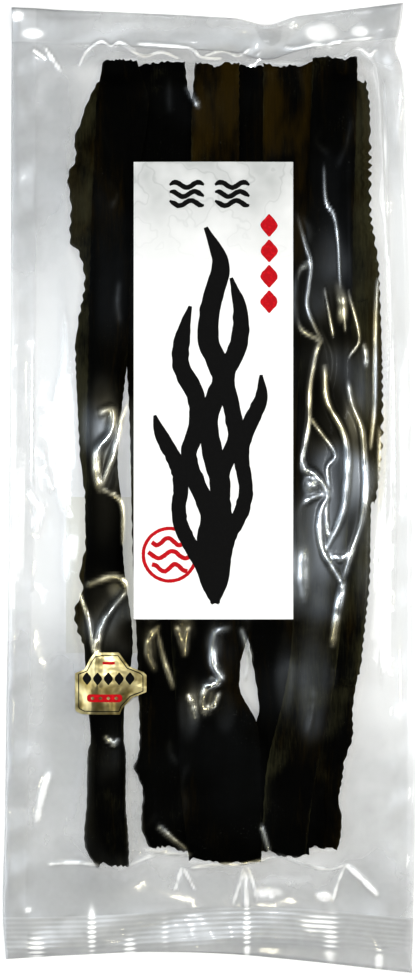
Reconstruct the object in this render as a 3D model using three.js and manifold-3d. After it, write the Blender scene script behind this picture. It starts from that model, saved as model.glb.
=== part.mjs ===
// A clear film pouch of dried kelp, lying on its back with its label up.
// Millimetres. X runs across the pouch, Y up its length, Z up from the surface that it lies on.
// The origin is at the middle of the pouch, on that surface.
import * as THREE from "three";
import { mergeVertices } from "three/addons/utils/BufferGeometryUtils.js";
import Module from "manifold-3d";

const wasm = await Module();
wasm.setup();

// ---------------------------------------------------------------- sizes

const pouch = {
  width: 206,
  length: 485,
  seam: 0.8, // two films sealed together, thick enough to stand as a solid
  sideSeal: 12,
  topSeal: 17,
};

// The foot's seal is crimped into ribs. The line of pairs is the lowest rib's place across
// the pouch. The plain lip below the ribs ends at the pouch's edge.
const crimp = {
  ribs: 8,
  pitch: 2.4,
  rise: 0.5,
  line: [[-103, -233.5], [-58, -232.5], [20, -228], [60, -230], [103, -234]],
};

// How far each edge of the pouch strays inwards from its rectangle. The pairs run from the
// left or the foot, each with its place along the edge and how far in it lies.
const strays = {
  left: [[-242, 1.5], [-186, 0], [-110, 1.5], [60, 3.5], [242, 4.5]],
  right: [[-242, 1.5], [-100, 0], [110, 1.5], [190, 6], [214, 10], [242, 6]],
  foot: [[-103, 7], [-70, 9], [-11, 11], [40, 7], [103, 0]],
  top: [[-103, 2.5], [-40, 5], [12, 8], [29, 12], [45, 7], [97, 0]],
};

// Where the sealed edge curls up off the surface: its side, its place, how far it reaches and how high.
const curls = [
  { side: "top", at: 29, reach: 30, rise: 5 },
  { side: "top", at: -96, reach: 26, rise: 2.5 },
  { side: "right", at: 206, reach: 42, rise: 4.5 },
  { side: "foot", at: -8, reach: 34, rise: 2.5 },
];

// The strips of kelp, from the bottom of the pile to the top. Each has the height of its own
// curl and its stations from the top end to the foot: place along Y, left edge, right edge.
const strips = [
  {
    curl: 5, // the outer left strip, whose frilled edge shows
    stations: [
      [201, -56.5, -40], [178, -66.5, -42], [148, -70, -45], [103, -62, -42], [74, -68.5, -45],
      [33, -65.5, -47], [-11, -61.5, -45], [-57, -66, -46], [-102, -59, -45],
    ],
  },
  {
    curl: 4, // the outer right strip, crimped along its edge
    stations: [[203, 65, 82], [163, 67, 80.5], [93, 70, 84.5], [43, 71, 86.5], [-2, 70, 83.5]],
  },
  {
    curl: 4.5, // the folded strip under the label
    stations: [[210, 13, 31], [93, 8, 29], [-57, 2, 26], [-100, 0, 18]],
  },
  {
    curl: 5.5, // the wide strip left of the middle
    stations: [
      [212, -38, -10], [143, -46, -7], [43, -42, -5], [-36, -41, -10], [-77, -36, -12],
      [-139, -38.5, -11], [-157, -34, -10], [-182, -33, -9],
    ],
  },
  {
    curl: 5.5, // the strip right of the middle
    stations: [
      [209, 28, 51], [93, 26, 48], [18, 24, 47], [-66, 20, 45], [-88, 21, 44], [-118, 26, 46],
      [-182, 26, 48],
    ],
  },
  {
    curl: 7, // the long strip down the lower right
    stations: [
      [93, 60, 79], [-7, 60, 79.5], [-67, 56, 77], [-107, 51, 72], [-147, 45, 66.5],
      [-184, 41, 65],
    ],
  },
  {
    curl: 6, // the brown strip in the middle, which fans out at its foot
    stations: [
      [212, -8, 15], [163, -10, 15], [43, -16, 11], [-67, -19, 13], [-101, -17, 15.5],
      [-122, -16, 26], [-188, -13, 26],
    ],
  },
  {
    curl: 6.5, // the left strip
    stations: [
      [213, -55, -37], [143, -59, -38], [73, -62, -40], [13, -63, -46], [-30, -62, -43],
      [-77, -62, -36], [-107, -61, -42], [-157, -61, -41.5], [-190, -59, -40],
    ],
  },
  {
    curl: 8, // the right strip
    stations: [
      [214, 49.5, 73.5], [143, 48, 73], [43, 44, 70], [-37, 40, 67.5], [-117, 32.5, 59],
      [-182, 36, 60],
    ],
  },
];
const stripThickness = 1.5;
const archFullness = 0.6; // a lower power makes a strip's section fuller at its edges
const nesting = 0.6; // the share of the pile's height under a strip that still shows above it

// The film is pulled down between the strips by the air drawn out of the pouch. The cover is
// its clear height over them, and it is level after that many passes of the relaxing.
const film = { pull: 0.008, cover: 0.3, passes: 900 };

// The deepest folds of the film: how high each stands, how far it reaches to either side
// and its route over the pouch.
const folds = [
  { rise: 1.6, reach: 3, route: [[45, 131], [50, 110], [49, 90], [55, 74]] },
  { rise: 1.4, reach: 3, route: [[50, 111], [43, 98], [43, 84], [51, 74]] },
  { rise: 1.8, reach: 3.5, route: [[69, 99], [74, 77], [69, 65]] },
  { rise: 1.6, reach: 3, route: [[50, 54], [47, 15], [59, -2]] },
  { rise: 1.8, reach: 3.5, route: [[58, 54], [68, 5], [57, -31]] },
  { rise: 2, reach: 3.5, route: [[69, 54], [77, 12], [68, -34]] },
  { rise: 2.2, reach: 4, route: [[60, -3], [54, -18], [66, -47], [60, -77]] },
  { rise: 1.5, reach: 3, route: [[-37, 52], [-46, 21], [-54, 0]] },
  { rise: 1.8, reach: 4, route: [[-74, 106], [-75, 37], [-71, -24], [-71, -66]] },
  { rise: 1.5, reach: 3.5, route: [[-98, 7], [-85, -9], [-86, -23]] },
  { rise: 1.4, reach: 3, route: [[10, -72], [2, -80], [-2, -111]] },
  { rise: 1.5, reach: 3.5, route: [[-40, -189], [-20, -181], [-7, -179]] },
  { rise: 1.6, reach: 4, route: [[-65, 211], [-51, 222], [-11, 211]] },
];

// The paper label on the front film, and the smooth bed that its stiffness makes of the film:
// the bed's height, how far it arches and leans, and how far it reaches past the label.
const label = {
  x: [-37.3, 41.7],
  y: [-65, 161.5],
  thickness: 0.5,
  bed: 12.4,
  camber: 0.8,
  apron: 2,
};

// The foil sticker, a plaque with a crown and two wings: its outline is in shares of its half
// sizes, clockwise from the crown's left corner.
const sticker = {
  x: -48.8,
  y: -97,
  thickness: 0.4,
  halfWidth: 17.8,
  halfHeight: 15.5,
  outline: [
    [-0.46, 0.97], [-0.28, 1], [0.23, 1], [0.51, 0.55], [0.92, 0.36], [1, 0.27], [0.98, -0.29],
    [0.61, -0.45], [0.33, -0.79], [0.25, -1], [-0.82, -1], [-0.97, -0.9], [-1, 0.32],
    [-0.73, 0.45], [-0.56, 0.82],
  ],
};

// The paper label on the back film.
const backLabel = { x: [-71.5, -16], y: [-82.5, -4.5], thickness: 0.4 };

const gap = 0.3; // clear space between pieces that touch

// Heights safely under and over the whole pouch, between which the cutting prisms stand.
const under = -10;
const over = 60;

// ---------------------------------------------------------------- materials

const filmOverKelp = new THREE.MeshStandardMaterial({
  color: 0x14160e, roughness: 0.18, metalness: 0,
});
const printedPaper = new THREE.MeshStandardMaterial({
  color: 0xf4f4f1, roughness: 0.55, metalness: 0,
});
const goldFoil = new THREE.MeshStandardMaterial({
  color: 0xb59a52, roughness: 0.28, metalness: 0.85,
});
const plainPaper = new THREE.MeshStandardMaterial({
  color: 0xe6e4d8, roughness: 0.7, metalness: 0,
});

// ---------------------------------------------------------------- curves through points

const smooth = (t) => t * t * (3 - 2 * t);
const clamp = (t) => Math.min(1, Math.max(0, t));

// The value at `at` of a smooth curve through [place, value] pairs, level at each pair.
function along(pairs, at) {
  const rising = pairs[0][0] < pairs[pairs.length - 1][0] ? pairs : [...pairs].reverse();
  const next = rising.findIndex(([place]) => place >= at);
  if (next <= 0) return rising[next === 0 ? 0 : rising.length - 1][1];
  const [[p0, v0], [p1, v1]] = [rising[next - 1], rising[next]];
  const before = rising[next - 2] ?? rising[next - 1];
  const after = rising[next + 1] ?? rising[next];
  const slope0 = (v1 - before[1]) / (p1 - before[0]);
  const slope1 = (after[1] - v0) / (after[0] - p0);
  const span = p1 - p0;
  const t = (at - p0) / span;
  return (
    v0 * (1 + 2 * t) * (1 - t) ** 2 +
    slope0 * span * t * (1 - t) ** 2 +
    v1 * t * t * (3 - 2 * t) -
    slope1 * span * t * t * (1 - t)
  );
}

// ---------------------------------------------------------------- the grid of the pouch

// Lines from 0 to 1 across a length, as many in each stretch as its pair says.
function graded(from, stretches) {
  const lines = [from];
  let start = from;
  for (const [end, count] of stretches) {
    for (let i = 1; i <= count; i++) lines.push(start + ((end - start) * i) / count);
    start = end;
  }
  const total = start - from;
  return lines.map((line) => (line - from) / total);
}

const halfWidth = pouch.width / 2;
const halfLength = pouch.length / 2;
const sealLines = 2; // grid lines across the plain seals
const crimpLines = 1 + 2 * crimp.ribs; // the edge, then a foot and a crest for every rib
const stripsEnd = -175; // the grid is finest from here up, over the strips and the label
const across = graded(-halfWidth, [
  [-halfWidth + pouch.sideSeal, sealLines],
  [label.x[0] - label.apron, 15],
  [label.x[1] + label.apron, 12],
  [halfWidth - pouch.sideSeal, 14],
  [halfWidth, sealLines],
]);
const upwards = graded(-halfLength + crimp.pitch * crimp.ribs, [
  [stripsEnd, 11],
  [label.y[0] - label.apron, 20],
  [label.y[1] + label.apron, 28],
  [halfLength - pouch.topSeal, 14],
  [halfLength, sealLines],
]);
const columns = across.length;
const rows = crimpLines + upwards.length;

// The place of grid point (i, j): on the pouch's strayed outline, along the ribs of its
// crimped foot and evenly between them.
function place(i, j) {
  const fromCrimp = j - crimpLines;
  const roughY = fromCrimp < 0 ? -halfLength : halfLength * (2 * upwards[fromCrimp] - 1);
  const left = -halfWidth + along(strays.left, roughY);
  const right = halfWidth - along(strays.right, roughY);
  const x = left + (right - left) * across[i];
  const lowestRib = along(crimp.line, x);
  if (j === 0) return new THREE.Vector2(x, -halfLength + along(strays.foot, x));
  if (fromCrimp < 0) return new THREE.Vector2(x, lowestRib + ((j - 1) * crimp.pitch) / 2);
  const sealEnd = lowestRib + crimp.pitch * crimp.ribs;
  const top = halfLength - along(strays.top, x);
  return new THREE.Vector2(x, sealEnd + (top - sealEnd) * upwards[fromCrimp]);
}

// How far in from a sealed edge a grid point lies, from 0 at the edge to 1 at the seal's inner line.
function intoSeal(i, j, side) {
  if (side === "foot") return clamp(j / crimpLines);
  const lines = { left: i, right: columns - 1 - i, top: rows - 1 - j }[side];
  return clamp(lines / sealLines);
}

// The lines of the grid where the seals end.
const inner = {
  left: sealLines,
  right: columns - 1 - sealLines,
  foot: crimpLines,
  top: rows - 1 - sealLines,
};
const insideSeals = (i, j) =>
  i > inner.left && i < inner.right && j > inner.foot && j < inner.top;

// The height of the sealed edges at a grid point: curled up in places and crimped at the foot.
function sealHeight(i, j, at) {
  const onRib = j > 0 && j < crimpLines && j % 2 === 0;
  return curls.reduce((rise, curl) => {
    const where = curl.side === "left" || curl.side === "right" ? at.y : at.x;
    const near = 1 - clamp(Math.abs(where - curl.at) / curl.reach);
    return rise + curl.rise * smooth(near) * (1 - intoSeal(i, j, curl.side)) ** 2;
  }, pouch.seam + (onRib ? crimp.rise : 0));
}

// ---------------------------------------------------------------- the pile of strips and the film over it

// How high the pile of strips stands at a place, 0 beside it.
function pileHeight({ x, y }) {
  return strips.reduce((height, strip) => {
    const { stations, curl } = strip;
    const top = stations[0][0];
    const foot = stations[stations.length - 1][0];
    if (y > top || y < foot) return height;
    const left = along(stations.map(([at, edge]) => [at, edge]), y);
    const right = along(stations.map(([at, , edge]) => [at, edge]), y);
    const s = (2 * x - left - right) / (right - left);
    if (Math.abs(s) > 1) return height;
    const arch = (1 - s * s) ** archFullness;
    return Math.max(height, nesting * height + stripThickness + curl * arch);
  }, 0);
}

// The level of the label's bed at a place, and whether the place lies on that bed.
const middle = ([low, high]) => (low + high) / 2;
function labelBed({ x, y }) {
  const acrossLabel = (x - middle(label.x)) / (label.x[1] - label.x[0]);
  const upLabel = (y - middle(label.y)) / (label.y[1] - label.y[0]);
  return label.bed + label.camber * (Math.cos(Math.PI * acrossLabel) - upLabel);
}
function onBed({ x, y }) {
  const slack = 0.1; // keeps the grid lines at the apron's very edge on the bed
  const outside = [label.x[0] - x, x - label.x[1], label.y[0] - y, y - label.y[1]];
  return Math.max(...outside) < label.apron + slack;
}

// How high the folds stand at a place.
const foldSteps = 24;
const foldLines = folds.map(({ rise, reach, route }) => {
  const curve = new THREE.CatmullRomCurve3(route.map(([x, y]) => new THREE.Vector3(x, y, 0)));
  return { rise, reach, way: curve.getPoints(foldSteps) };
});
function foldRise({ x, y }) {
  return foldLines.reduce((highest, { rise, reach, way }) => {
    const away = way.map((point) => Math.hypot(point.x - x, point.y - y));
    const nearest = Math.min(...away);
    const taper = Math.sin((Math.PI * (away.indexOf(nearest) + 1)) / (way.length + 1));
    return Math.max(highest, rise * Math.sqrt(taper) * smooth(1 - clamp(nearest / reach)));
  }, 0);
}

// Relaxes the film over the pile like a stretched skin: each point settles to the mean of its
// neighbours, less the pull, and never sinks into the pile. The label holds its own bed.
function drape(places) {
  const pile = places.map((row) => row.map((at) => pileHeight(at) + film.cover));
  const bed = places.map((row) => row.map((at) => (onBed(at) ? labelBed(at) : null)));
  const height = places.map((row, j) =>
    row.map((at, i) => bed[j][i] ?? sealHeight(i, j, at)),
  );
  for (let pass = 0; pass < film.passes; pass++) {
    for (let j = inner.foot + 1; j < inner.top; j++) {
      for (let i = inner.left + 1; i < inner.right; i++) {
        if (bed[j][i] !== null) continue;
        const dx0 = places[j][i].x - places[j][i - 1].x;
        const dx1 = places[j][i + 1].x - places[j][i].x;
        const dy0 = places[j][i].y - places[j - 1][i].y;
        const dy1 = places[j + 1][i].y - places[j][i].y;
        const weights = [
          1 / (dx0 * (dx0 + dx1)), 1 / (dx1 * (dx0 + dx1)),
          1 / (dy0 * (dy0 + dy1)), 1 / (dy1 * (dy0 + dy1)),
        ];
        const total = weights.reduce((sum, w) => sum + w);
        const mean =
          (weights[0] * height[j][i - 1] + weights[1] * height[j][i + 1] +
            weights[2] * height[j - 1][i] + weights[3] * height[j + 1][i]) / total;
        const free = mean - film.pull / total;
        height[j][i] = Math.max(pouch.seam, pile[j][i], free);
      }
    }
  }
  return height.map((row, j) =>
    row.map((z, i) => {
      const loose = insideSeals(i, j) && bed[j][i] === null;
      return loose ? z + foldRise(places[j][i]) : z;
    }),
  );
}

// ---------------------------------------------------------------- solids

// A closed geometry turned into a manifold solid, its corners joined.
function solidOf(geometry) {
  const merged = mergeVertices(geometry, 1e-4);
  return new wasm.Manifold(
    new wasm.Mesh({
      numProp: 3,
      vertProperties: merged.attributes.position.array,
      triVerts: new Uint32Array(merged.index.array),
    }),
  );
}

function geometryFrom(solid) {
  const { vertProperties, triVerts } = solid.getMesh();
  const geometry = new THREE.BufferGeometry();
  geometry.setAttribute("position", new THREE.BufferAttribute(vertProperties, 3));
  geometry.setIndex(new THREE.BufferAttribute(triVerts, 1));
  geometry.computeVertexNormals();
  return geometry;
}

// The solid between the film's top and a floor: the sealed rim is a thin ring that curls
// alike on both faces, and the floor inside it is flat.
function pouchSolid(places, height, drop) {
  const points = [];
  const top = places.map((row, j) =>
    row.map((at, i) => points.push(new THREE.Vector3(at.x, at.y, height[j][i])) - 1),
  );
  const bottom = places.map((row, j) =>
    row.map((at, i) => {
      const z = insideSeals(i, j) ? 0 : height[j][i] - pouch.seam;
      return points.push(new THREE.Vector3(at.x, at.y, z - drop)) - 1;
    }),
  );
  const triangles = [];
  const quad = (a, b, c, d) => triangles.push(a, b, c, a, c, d);
  const rim = (i, j) =>
    i < inner.left || i >= inner.right || j < inner.foot || j >= inner.top;
  for (let j = 0; j < rows - 1; j++) {
    for (let i = 0; i < columns - 1; i++) {
      quad(top[j][i], top[j][i + 1], top[j + 1][i + 1], top[j + 1][i]);
      if (rim(i, j))
        quad(bottom[j][i], bottom[j + 1][i], bottom[j + 1][i + 1], bottom[j][i + 1]);
    }
  }
  // The rim's outer wall, walked anticlockwise.
  const outer = loop({ left: 0, right: columns - 1, foot: 0, top: rows - 1 });
  outer.forEach(([i, j], n) => {
    const [i1, j1] = outer[(n + 1) % outer.length];
    quad(bottom[j][i], bottom[j1][i1], top[j1][i1], top[j][i]);
  });
  // The flat floor inside the rim, as one polygon.
  const floor = loop(inner);
  const faces = THREE.ShapeUtils.triangulateShape(floor.map(([i, j]) => places[j][i]), []);
  const corner = (n) => bottom[floor[n][1]][floor[n][0]];
  for (const [a, b, c] of faces) triangles.push(corner(a), corner(c), corner(b));
  return solidOf(new THREE.BufferGeometry().setFromPoints(points).setIndex(triangles));
}

// The grid points round a rectangle of grid lines, anticlockwise from its lowest corner.
function loop({ left, right, foot, top }) {
  const way = [];
  for (let i = left; i < right; i++) way.push([i, foot]);
  for (let j = foot; j < top; j++) way.push([right, j]);
  for (let i = right; i > left; i--) way.push([i, top]);
  for (let j = top; j > foot; j--) way.push([left, j]);
  return way;
}

// An upright prism on an outline, from z0 to z1.
function prism(outline, z0, z1) {
  const geometry = new THREE.ExtrudeGeometry(new THREE.Shape(outline), {
    depth: z1 - z0,
    bevelEnabled: false,
  }).translate(0, 0, z0);
  geometry.deleteAttribute("normal");
  geometry.deleteAttribute("uv");
  return solidOf(geometry);
}

function rectangle([x0, x1], [y0, y1]) {
  return [[x0, y0], [x1, y0], [x1, y1], [x0, y1]].map(([x, y]) => new THREE.Vector2(x, y));
}

function plaque({ x, y, halfWidth: w, halfHeight: h, outline }) {
  return outline.map(([u, v]) => new THREE.Vector2(x + u * w, y + v * h)).reverse();
}

// ---------------------------------------------------------------- assembly

const places = Array.from({ length: rows }, (_, j) => across.map((_, i) => place(i, j)));
const height = drape(places);

// A sheet that lies on the film inside an outline: what is under the film raised by its
// thickness and the gap, less what is under the film raised by the gap.
function sheetOnFilm(outline, thickness) {
  const deep = pouchSolid(places, height, 2 * -under);
  return prism(outline, under, over)
    .intersect(deep.translate([0, 0, gap + thickness]))
    .subtract(deep.translate([0, 0, gap]));
}

// The hollow in the back film that the back label lies in, a gap wider and deeper than it.
function backRecess() {
  const grow = ([low, high]) => [low - gap, high + gap];
  return prism(rectangle(grow(backLabel.x), grow(backLabel.y)), under, backLabel.thickness + gap);
}

const nodes = {
  bag: [pouchSolid(places, height, 0).subtract(backRecess()), filmOverKelp],
  front_label: [sheetOnFilm(rectangle(label.x, label.y), label.thickness), printedPaper],
  foil_sticker: [sheetOnFilm(plaque(sticker), sticker.thickness), goldFoil],
  back_label: [
    prism(rectangle(backLabel.x, backLabel.y), 0, backLabel.thickness), plainPaper,
  ],
};

const part = new THREE.Group();
for (const [name, [solid, material]] of Object.entries(nodes)) {
  const mesh = new THREE.Mesh(geometryFrom(solid), material);
  mesh.name = name;
  part.add(mesh);
}

export default part;
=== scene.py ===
"""A clear film pouch of dried kelp strips, lying on its back with its label up."""
import math

import bpy
import numpy as np
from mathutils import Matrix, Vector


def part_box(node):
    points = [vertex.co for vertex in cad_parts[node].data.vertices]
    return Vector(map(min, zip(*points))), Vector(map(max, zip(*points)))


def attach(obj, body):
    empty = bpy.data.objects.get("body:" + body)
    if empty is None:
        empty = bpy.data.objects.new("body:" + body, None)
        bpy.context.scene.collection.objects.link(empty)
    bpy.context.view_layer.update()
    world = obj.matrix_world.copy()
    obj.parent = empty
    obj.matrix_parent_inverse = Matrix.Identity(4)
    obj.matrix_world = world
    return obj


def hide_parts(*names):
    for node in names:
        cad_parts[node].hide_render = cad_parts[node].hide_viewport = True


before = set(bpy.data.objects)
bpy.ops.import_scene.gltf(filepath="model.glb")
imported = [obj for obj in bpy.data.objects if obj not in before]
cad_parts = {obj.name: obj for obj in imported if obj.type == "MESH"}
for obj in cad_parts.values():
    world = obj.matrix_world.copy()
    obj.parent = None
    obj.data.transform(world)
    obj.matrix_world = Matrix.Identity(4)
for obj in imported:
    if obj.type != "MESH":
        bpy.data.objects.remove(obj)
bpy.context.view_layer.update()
MM = 0.001

# ------------------------------------------------------------------------------------------
# Camera. It looks straight down on the pouch, which fills the view from its top seal to its
# crimped foot.
# ------------------------------------------------------------------------------------------
view_height = 1.3
shown_length = 0.487
camera_data = bpy.data.cameras.new("camera")
camera_data.sensor_width = 36
camera_data.lens = camera_data.sensor_width * view_height / shown_length
camera = bpy.data.objects.new("camera", camera_data)
camera.location = (0.5 * MM, 0.5 * MM, view_height)
bpy.context.scene.collection.objects.link(camera)
bpy.context.scene.camera = camera
bpy.context.scene.view_settings.view_transform = "Standard"
bpy.context.scene.view_settings.look = "Medium High Contrast"

# ------------------------------------------------------------------------------------------
# Studio. A plain white table. A small light beside the camera lines the crests of the film's
# folds, and narrow soft lights off to the sides show only where the film slopes.
# ------------------------------------------------------------------------------------------
soft_lights = {
    # name: (place, width and length in metres, watts, colour)
    "by_camera": ((0.0, 0.07, 1.36), (0.05, 0.10), 6, (0.97, 0.98, 1.0)),
    "cool_left": ((-1.10, 0.05, 0.95), (0.12, 1.3), 6, (0.86, 0.93, 1.0)),
    "white_right": ((1.08, -0.05, 0.95), (0.12, 1.4), 6, (1.0, 0.985, 0.94)),
    "warm_right": ((0.52, 0.10, 1.28), (0.03, 0.12), 0.8, (1.0, 0.93, 0.62)),
    "warm_left": ((-0.50, -0.20, 1.28), (0.03, 0.12), 0.8, (1.0, 0.93, 0.66)),
    "warm_foot": ((0.03, -0.68, 1.20), (0.03, 0.14), 0.7, (1.0, 0.93, 0.68)),
    "cool_top": ((-0.15, 1.25, 1.05), (0.5, 0.28), 2.5, (0.95, 0.98, 1.0)),
    "cool_foot": ((0.20, -1.30, 1.10), (0.5, 0.28), 1.4, (0.97, 0.98, 1.0)),
    "low_left": ((-1.35, -0.30, 0.50), (1.2, 0.8), 10, (0.97, 0.98, 1.0)),
    "low_right": ((1.35, 0.30, 0.50), (1.2, 0.8), 11.5, (1.0, 0.99, 0.97)),
}
for light_name, (place, (width, length), watts, colour) in soft_lights.items():
    light_data = bpy.data.lights.new(light_name, "AREA")
    light_data.shape = "RECTANGLE"
    light_data.size = width
    light_data.size_y = length
    light_data.energy = watts
    light_data.color = colour
    light = bpy.data.objects.new(light_name, light_data)
    light.location = place
    light.rotation_euler = (-light.location).to_track_quat("-Z", "Y").to_euler()
    bpy.context.scene.collection.objects.link(light)

world = bpy.data.worlds.new("dim_room")
world.use_nodes = True
world.node_tree.nodes["Background"].inputs["Color"].default_value = (0.005, 0.0052, 0.0055, 1)
bpy.context.scene.world = world


def mesh_piece(name, points, faces, material=None, **attributes):
    """A smooth mesh object from points in millimetres, with a number for every point by name."""
    mesh = bpy.data.meshes.new(name)
    mesh.from_pydata((np.asarray(points) * MM).tolist(), [], faces)
    mesh.shade_smooth()
    for title, values in attributes.items():
        mesh.attributes.new(title, "FLOAT", "POINT").data.foreach_set("value", np.ravel(values))
    if material:
        mesh.materials.append(material)
    piece = bpy.data.objects.new(name, mesh)
    bpy.context.scene.collection.objects.link(piece)
    return piece


class Value:
    """A node socket's value. Arithmetic on it adds Math nodes to its tree."""

    def __init__(self, socket):
        self.socket = socket

    def maths(self, operation, *values):
        return add_node(self.socket.id_data, "Math", *values, operation=operation)[0]

    def __add__(self, other):
        return self.maths("ADD", self, other)

    def __sub__(self, other):
        return self.maths("SUBTRACT", self, other)

    def __rsub__(self, other):
        return self.maths("SUBTRACT", other, self)

    def __mul__(self, other):
        return self.maths("MULTIPLY", self, other)

    def __pow__(self, other):
        return self.maths("POWER", self, other)

    def __abs__(self):
        return self.maths("ABSOLUTE", self)

    __radd__ = __add__
    __rmul__ = __mul__

    def rises(self, low, high):
        """0 below low and 1 above high, with a soft step between. low may be above high."""
        return add_node(
            self.socket.id_data, "MapRange", interpolation_type="SMOOTHSTEP",
            Value=self, From_Min=low, From_Max=high,
        )[0]


def add_node(tree, kind, *inputs, **named):
    """Adds a node and gives its outputs. Names in small letters are its settings, which are set
    first. The rest are inputs: numbers, colours, Values, lists of Values, or None to skip one."""
    node = tree.nodes.new(kind if "Node" in kind else "ShaderNode" + kind)
    for setting in filter(str.islower, named):
        setattr(node, setting, named[setting])
    titled = {name.replace("_", " "): named[name] for name in named if not name.islower()}
    for key, given in [*enumerate(inputs), *titled.items()]:
        for value in given if isinstance(given, list) else [given]:
            if isinstance(value, Value):
                tree.links.new(value.socket, node.inputs[key])
            elif value is not None:
                node.inputs[key].default_value = value
    return [Value(output) for output in node.outputs]


def noise(place, scale, detail):
    """A random pattern from 0 to 1 over places."""
    return add_node(place.socket.id_data, "TexNoise", Vector=place, Scale=scale, Detail=detail)[0]


def mix_colours(tree, factor, low, high):
    """A colour between two, which a Mix node takes as its inputs 6 and 7 and gives as output 2."""
    return add_node(tree, "Mix", factor, *[None] * 5, low, high, data_type="RGBA")[2]


def new_material(name, shader_in, *looks):
    """A material whose surface is the shader that a function adds to its tree."""
    material = bpy.data.materials.new(name)
    material.use_nodes = True
    tree = material.node_tree
    tree.nodes.clear()
    add_node(tree, "OutputMaterial", Surface=shader_in(tree, *looks))
    return material


def table_paint(tree):
    """White paint with faint clouds."""
    specks = add_node(tree, "TexNoise", Scale=6.0, Detail=2.0)[0]
    paint = mix_colours(tree, specks, (0.90, 0.90, 0.90, 1), (0.94, 0.94, 0.94, 1))
    return add_node(tree, "BsdfPrincipled", Base_Color=paint, Roughness=0.8)[0]


table_reach, table_level = 2500, -0.1
corners = ((-1, -1), (1, -1), (1, 1), (-1, 1))
floor = mesh_piece(
    "floor", [(table_reach * x, table_reach * y, table_level) for x, y in corners],
    [(0, 1, 2, 3)], new_material("white_table", table_paint),
)

# ------------------------------------------------------------------------------------------
# Kelp. Long blades of dried kelp, folded lengthways into strips and piled side by side. They
# are nearly black, and olive brown where the blade is thin: along its frilled edges and on
# the strips whose inner face shows.
# ------------------------------------------------------------------------------------------


def along(pairs, at):
    """A smooth curve's values at these places, through [place, value] pairs in rising order."""
    places, values = np.array(sorted(pairs), float).T
    before = np.r_[places[0], places[:-1]], np.r_[values[0], values[:-1]]
    after = np.r_[places[1:], places[-1]], np.r_[values[1:], values[-1]]
    slopes = (after[1] - before[1]) / (after[0] - before[0])
    n = np.clip(np.searchsorted(places, at) - 1, 0, len(places) - 2)
    span = places[n + 1] - places[n]
    t = np.clip((at - places[n]) / span, 0, 1)
    start = values[n] * (1 + 2 * t) * (1 - t) ** 2 + slopes[n] * span * t * (1 - t) ** 2
    end = values[n + 1] * t * t * (3 - 2 * t) - slopes[n + 1] * span * t * t * (1 - t)
    return start + end


def wander(at, pitch, seed):
    """A smooth random wave from -1 to 1 along a line."""
    draws = np.random.default_rng(seed).uniform(-1, 1, 2000)
    steps = np.asarray(at) / pitch + 1000
    n = np.floor(steps).astype(int)
    t = steps - n
    t = t * t * (3 - 2 * t)
    return draws[n] * (1 - t) + draws[n + 1] * t


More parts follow.
